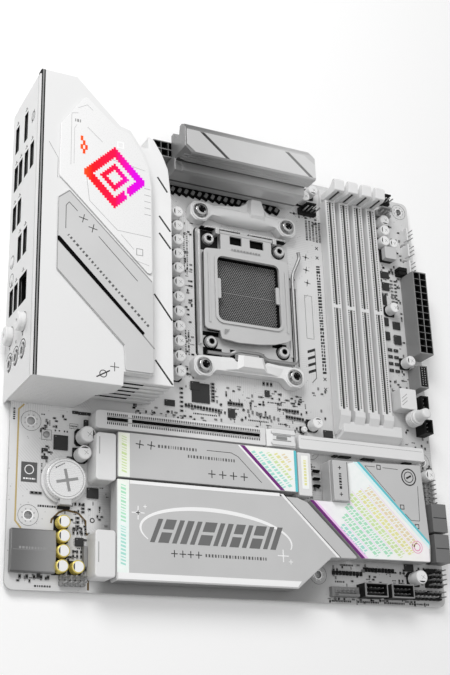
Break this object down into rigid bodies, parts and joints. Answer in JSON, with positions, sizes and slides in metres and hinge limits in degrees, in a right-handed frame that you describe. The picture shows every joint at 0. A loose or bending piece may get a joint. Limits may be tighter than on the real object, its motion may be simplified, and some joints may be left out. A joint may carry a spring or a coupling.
{
  "type": "motherboard",
  "caption": "White micro-ATX motherboard with covered rear ports, land-grid processor socket, memory and expansion slots and storage heatsinks.",
  "frame": {"origin": "middle of the underside of the whole assembly, on the plane that the socket's backplate rests on", "axes": "+Z out of the component side, +X from the rear edge with the ports towards the front edge, +Y towards the edge with the processor power socket"},
  "size_m": [0.2504, 0.2506, 0.045],
  "materials": {
    "board": "white solder mask with fine printed lines",
    "white_paint": "satin white paint",
    "silver_paint": "satin silver-grey paint",
    "light_panel": "pearly translucent plastic over a lit emblem",
    "pearl_film": "pearl film with pastel tints",
    "grey_metal": "bead-blasted grey aluminium",
    "port_metal": "plated steel port shells",
    "steel": "satin stamped steel",
    "screw_steel": "bright plated screws",
    "bracket_plastic": "silver-grey satin plastic",
    "white_plastic": "white moulded plastic",
    "grey_plastic": "grey moulded plastic",
    "black_plastic": "black moulded plastic",
    "cell_steel": "bright coin-cell can"
  },
  "bodies": {
    "board": {"circuit_board": "board", "io_cover": "white_paint", "io_shield": "white_paint", "vrm_heatsink_side": "white_paint", "release_cover": "white_paint", "release_housing": "white_paint", "io_band": "silver_paint", "storage_cover_upper": "silver_paint", "storage_cover_lower": "silver_paint", "chipset_label": "silver_paint", "io_light_panel": "light_panel", "chipset_heatsink": "pearl_film", "vrm_heatsink_top": "grey_metal", "socket_backplate": "grey_metal", "video_ports": "port_metal", "usb_ports_upper": "port_metal", "usb_ports_middle": "port_metal", "usb_ports_raised": "port_metal", "network_and_usb_ports": "port_metal", "socket_frame": "steel", "audio_shield": "steel", "socket_screw_1": "screw_steel", "socket_screw_2": "screw_steel", "socket_screw_3": "screw_steel", "socket_screw_4": "screw_steel", "cooler_screw_1": "screw_steel", "cooler_screw_2": "screw_steel", "cooler_screw_3": "screw_steel", "cooler_screw_4": "screw_steel", "cooler_bracket_top": "bracket_plastic", "cooler_bracket_bottom": "bracket_plastic", "memory_slot_1": "white_plastic", "memory_slot_2": "white_plastic", "memory_slot_3": "white_plastic", "memory_slot_4": "white_plastic", "expansion_slot": "white_plastic", "storage_end_upper": "white_plastic", "storage_end_lower": "white_plastic", "antenna_socket_upper": "white_plastic", "antenna_socket_lower": "white_plastic", "power_socket_24": "grey_plastic", "power_socket_8": "grey_plastic", "drive_sockets_a": "grey_plastic", "drive_sockets_b": "grey_plastic", "socket_base": "black_plastic", "front_port_header": "black_plastic", "battery_holder": "black_plastic", "audio_jacks": "black_plastic", "coin_cell": "cell_steel"},
    "load_plate": {"socket_load_plate": "steel"},
    "lever": {"socket_lever": "steel"},
    "memory_latch_1": {"memory_latch_1": "white_plastic"},
    "memory_latch_2": {"memory_latch_2": "white_plastic"},
    "memory_latch_3": {"memory_latch_3": "white_plastic"},
    "memory_latch_4": {"memory_latch_4": "white_plastic"},
    "expansion_latch": {"expansion_latch": "white_plastic"},
    "release_button": {"release_button": "white_plastic"},
    "storage_latch": {"storage_latch": "pearl_film"},
    "firmware_button": {"firmware_button": "black_plastic"},
    "clear_button": {"clear_button": "black_plastic"}
  },
  "joints": [
    {"name": "load_plate_hinge", "type": "hinge", "parent": "board", "child": "load_plate", "pos_m": [0.00875, 0.0736, 0.0094], "axis": [-1, 0, 0], "range_deg": [0, 100]},
    {"name": "lever_hinge", "type": "hinge", "parent": "board", "child": "lever", "pos_m": [0.01125, 0.0034, 0.007], "axis": [1, 0, 0], "range_deg": [0, 110]},
    {"name": "memory_latch_1_hinge", "type": "hinge", "parent": "board", "child": "memory_latch_1", "pos_m": [0.06495, 0.1109, 0.0079], "axis": [-1, 0, 0], "range_deg": [0, 45]},
    {"name": "memory_latch_2_hinge", "type": "hinge", "parent": "board", "child": "memory_latch_2", "pos_m": [0.0743, 0.1109, 0.0079], "axis": [-1, 0, 0], "range_deg": [0, 45]},
    {"name": "memory_latch_3_hinge", "type": "hinge", "parent": "board", "child": "memory_latch_3", "pos_m": [0.08365, 0.1109, 0.0079], "axis": [-1, 0, 0], "range_deg": [0, 45]},
    {"name": "memory_latch_4_hinge", "type": "hinge", "parent": "board", "child": "memory_latch_4", "pos_m": [0.093, 0.1109, 0.0079], "axis": [-1, 0, 0], "range_deg": [0, 45]},
    {"name": "release_button_press", "type": "slide", "parent": "board", "child": "release_button", "axis": [0, 0, -1], "range_m": [0, 0.003], "stiffness_N_per_m": 300},
    {"name": "expansion_latch_tilt", "type": "hinge", "parent": "board", "child": "expansion_latch", "pos_m": [0.02925, -0.042, 0.005], "axis": [0, 1, 0], "range_deg": [0, 12.5]},
    {"name": "storage_latch_slide", "type": "slide", "parent": "board", "child": "storage_latch", "axis": [1, 0, 0], "range_m": [0, 0.0025], "stiffness_N_per_m": 300},
    {"name": "firmware_button_press", "type": "slide", "parent": "board", "child": "firmware_button", "axis": [1, 0, 0], "range_m": [0, 0.0008], "stiffness_N_per_m": 500},
    {"name": "clear_button_press", "type": "slide", "parent": "board", "child": "clear_button", "axis": [1, 0, 0], "range_m": [0, 0.0008], "stiffness_N_per_m": 500}
  ],
  "couplings": [
    {"joint": "expansion_latch_tilt", "follows": "release_button_press", "rad_per_m": 72}
  ]
}
